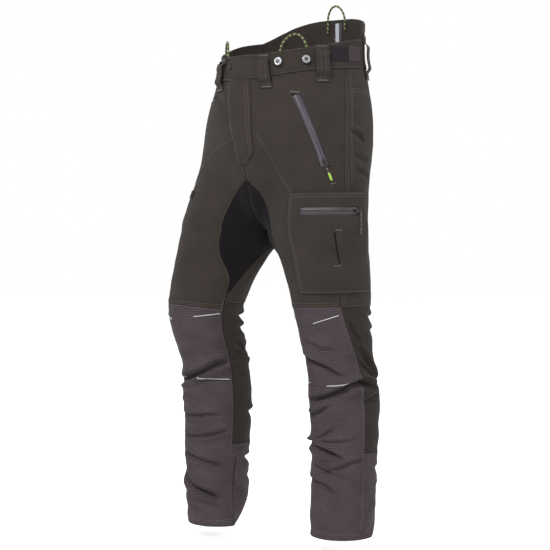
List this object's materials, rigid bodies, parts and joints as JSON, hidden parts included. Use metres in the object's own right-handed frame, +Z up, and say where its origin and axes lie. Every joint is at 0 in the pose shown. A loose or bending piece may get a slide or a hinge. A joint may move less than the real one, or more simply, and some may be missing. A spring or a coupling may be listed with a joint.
{
  "type": "forestry protective trousers",
  "caption": "Saw-protective work trousers with a high back, padded legs, crotch gusset, sliding zips, belt loops, brace buttons and waist tabs; worn over the legs to guard against a saw.",
  "frame": {"origin": "middle of the waist opening at the front waistband's middle height", "axes": "+X to the wearer's left, +Y to the wearer's back, +Z up"},
  "size_m": [0.4223, 0.3759, 1.1353],
  "materials": {
    "olive_cloth": "matte dense woven cloth",
    "dark_olive_cloth": "matte woven stretch cloth",
    "abrasion_cloth": "matte ribbed abrasion cloth",
    "black_stretch_cloth": "matte stretch knit",
    "padding": "layered fibre padding",
    "lining_cloth": "smooth lining",
    "zip_laminate": "satin laminate",
    "reflective_tape": "reflective grey tape",
    "button_metal": "polished metal",
    "black_metal": "black lacquer",
    "pull_plastic": "moulded lime tip on black cord",
    "black_plastic": "matte",
    "cord": "braided cord with lime flecks",
    "tab_cloth": "elastic tab",
    "black_webbing": "hook and loop"
  },
  "bodies": {
    "trousers": {"front_panel_left": "olive_cloth", "front_panel_right": "olive_cloth", "back_panel_left": "olive_cloth", "back_panel_right": "olive_cloth", "knee_panel_left": "abrasion_cloth", "knee_panel_right": "abrasion_cloth", "shin_panel_left": "abrasion_cloth", "shin_panel_right": "abrasion_cloth", "calf_panel_left": "dark_olive_cloth", "calf_panel_right": "dark_olive_cloth", "hem_guard_left": "abrasion_cloth", "hem_guard_right": "abrasion_cloth", "crotch_gusset": "black_stretch_cloth", "waistband_left": "olive_cloth", "waistband_right": "olive_cloth", "back_band": "olive_cloth", "cut_pad_left": "padding", "cut_pad_right": "padding", "leg_lining_left": "lining_cloth", "leg_lining_right": "lining_cloth", "fly_flap": "olive_cloth", "fly_tape": "zip_laminate", "pocket_tape_left": "zip_laminate", "pocket_tape_right": "zip_laminate", "pocket_bags": "lining_cloth", "cargo_pocket": "olive_cloth", "cargo_tape": "zip_laminate", "pen_slot_trim": "black_webbing", "rear_tape": "zip_laminate", "thigh_tab": "black_webbing", "belt_loops_left": "olive_cloth", "belt_loops_right": "olive_cloth", "belt_loop_back": "olive_cloth", "button_posts": "button_metal", "waist_snap": "button_metal", "hook_patches": "black_webbing", "cord_loop_left": "cord", "cord_loop_right": "cord", "cord_loop_back": "cord", "back_tape": "reflective_tape", "knee_piping": "reflective_tape"},
    "fly_slider": {"fly_slider": "button_metal"},
    "pocket_slider_left": {"pocket_slider_left": "black_metal"},
    "pocket_pull_left": {"pocket_pull_left": "pull_plastic"},
    "pocket_slider_right": {"pocket_slider_right": "black_metal"},
    "pocket_pull_right": {"pocket_pull_right": "pull_plastic"},
    "cargo_slider": {"cargo_slider": "black_metal"},
    "cargo_pull": {"cargo_pull": "black_plastic", "cargo_cord": "cord"},
    "rear_slider": {"rear_slider": "black_metal"},
    "rear_pull": {"rear_pull": "black_plastic"},
    "waist_tab_left": {"waist_tab_left": "tab_cloth"},
    "waist_tab_right": {"waist_tab_right": "tab_cloth"},
    "brace_button_fl1": {"brace_button_fl1": "button_metal"},
    "brace_button_fl2": {"brace_button_fl2": "button_metal"},
    "brace_button_fr1": {"brace_button_fr1": "button_metal"},
    "brace_button_fr2": {"brace_button_fr2": "button_metal"},
    "brace_button_bl": {"brace_button_bl": "button_metal"},
    "brace_button_br": {"brace_button_br": "button_metal"}
  },
  "joints": [
    {"name": "fly_slider_travel", "type": "hinge", "parent": "trousers", "child": "fly_slider", "pos_m": [-0.008, 0.121, -0.155], "axis": [0.9794, 0.1045, 0.1727], "range_deg": [0, 20.5]},
    {"name": "pocket_slider_left_travel", "type": "hinge", "parent": "trousers", "child": "pocket_slider_left", "pos_m": [-0.062, 0.079, -0.16], "axis": [-0.5547, -0.7431, -0.3742], "range_deg": [0, 27.5]},
    {"name": "pocket_pull_left_flip", "type": "hinge", "parent": "pocket_slider_left", "child": "pocket_pull_left", "pos_m": [0.18096, -0.08421, -0.19606], "axis": [-0.5547, -0.7431, -0.3742], "range_deg": [0, 150]},
    {"name": "pocket_slider_right_travel", "type": "hinge", "parent": "trousers", "child": "pocket_slider_right", "pos_m": [0.267, 0.254, -0.233], "axis": [-0.5846, 0.7547, 0.2978], "range_deg": [0, 14]},
    {"name": "pocket_pull_right_flip", "type": "hinge", "parent": "pocket_slider_right", "child": "pocket_pull_right", "pos_m": [-0.17769, -0.10524, -0.19548], "axis": [-0.5846, 0.7547, 0.2978], "range_deg": [0, 150]},
    {"name": "cargo_slider_travel", "type": "hinge", "parent": "trousers", "child": "cargo_slider", "pos_m": [0.098, -0.012, -0.296], "axis": [0, 0, -1], "range_deg": [0, 60]},
    {"name": "cargo_pull_flip", "type": "hinge", "parent": "cargo_slider", "child": "cargo_pull", "pos_m": [0.20969, -0.01883, -0.296], "axis": [0, 0, -1], "range_deg": [0, 150]},
    {"name": "rear_slider_travel", "type": "hinge", "parent": "trousers", "child": "rear_slider", "pos_m": [-0.014, -0.038, -0.09], "axis": [0, 0, 1], "range_deg": [0, 23.5]},
    {"name": "rear_pull_flip", "type": "hinge", "parent": "rear_slider", "child": "rear_pull", "pos_m": [-0.08898, 0.13864, -0.09], "axis": [0, 0, 1], "range_deg": [0, 150]},
    {"name": "waist_tab_left_peel", "type": "hinge", "parent": "trousers", "child": "waist_tab_left", "pos_m": [0.1608, 0.03915, 0.02913], "axis": [-0.0777, -0.0007, 0.997], "range_deg": [0, 100]},
    {"name": "waist_tab_right_peel", "type": "hinge", "parent": "trousers", "child": "waist_tab_right", "pos_m": [-0.1608, 0.03915, 0.02913], "axis": [-0.0777, 0.0007, -0.997], "range_deg": [0, 100]},
    {"name": "brace_button_fl1_turn", "type": "hinge", "parent": "trousers", "child": "brace_button_fl1", "pos_m": [0.09158, -0.12904, 0.00948], "axis": [0.4637, -0.8603, 0.2116], "continuous": true},
    {"name": "brace_button_fl2_turn", "type": "hinge", "parent": "trousers", "child": "brace_button_fl2", "pos_m": [0.13723, -0.09279, 0.0132], "axis": [0.7354, -0.6557, 0.171], "continuous": true},
    {"name": "brace_button_fr1_turn", "type": "hinge", "parent": "trousers", "child": "brace_button_fr1", "pos_m": [-0.10392, -0.12184, 0.00946], "axis": [-0.5307, -0.8215, 0.2085], "continuous": true},
    {"name": "brace_button_fr2_turn", "type": "hinge", "parent": "trousers", "child": "brace_button_fr2", "pos_m": [-0.14047, -0.08909, 0.01319], "axis": [-0.7555, -0.6329, 0.1696], "continuous": true},
    {"name": "brace_button_bl_turn", "type": "hinge", "parent": "trousers", "child": "brace_button_bl", "pos_m": [0.05238, 0.141, 0.08589], "axis": [0.2627, 0.9648, -0.0159], "continuous": true},
    {"name": "brace_button_br_turn", "type": "hinge", "parent": "trousers", "child": "brace_button_br", "pos_m": [-0.05238, 0.141, 0.08589], "axis": [-0.2627, 0.9648, -0.0159], "continuous": true}
  ]
}
